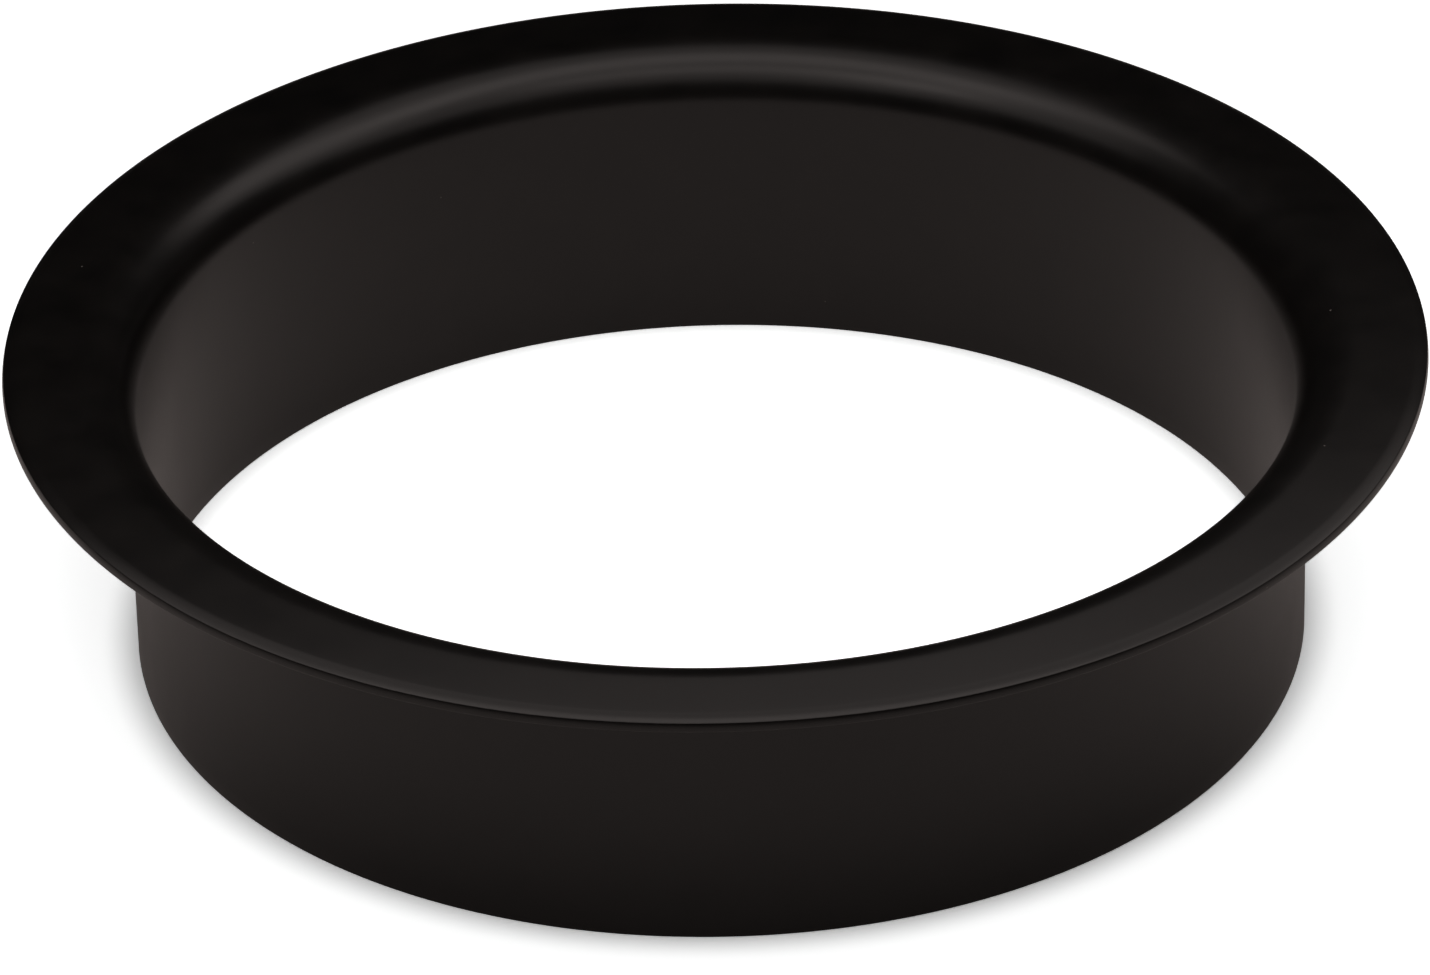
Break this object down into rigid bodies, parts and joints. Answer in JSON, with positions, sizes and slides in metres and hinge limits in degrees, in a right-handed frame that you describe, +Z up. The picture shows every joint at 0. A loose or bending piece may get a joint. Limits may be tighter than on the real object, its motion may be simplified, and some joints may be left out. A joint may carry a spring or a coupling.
{
  "type": "countertop waste chute ring",
  "caption": "Round one-piece waste chute ring for a worktop cut-out: a wide flange, a soft shoulder and a short straight skirt, in matte black coated sheet metal.",
  "frame": {"origin": "centre of the skirt's foot, on the plane that the ring stands on", "axes": "+Z up along the ring's axis, from the skirt's foot towards the flange"},
  "size_m": [0.24, 0.24, 0.055],
  "materials": {
    "matte_black_coating": "matte black powder coating, very slightly warm, fine even texture"
  },
  "bodies": {
    "root": {"chute_ring": "matte_black_coating"}
  },
  "joints": []
}
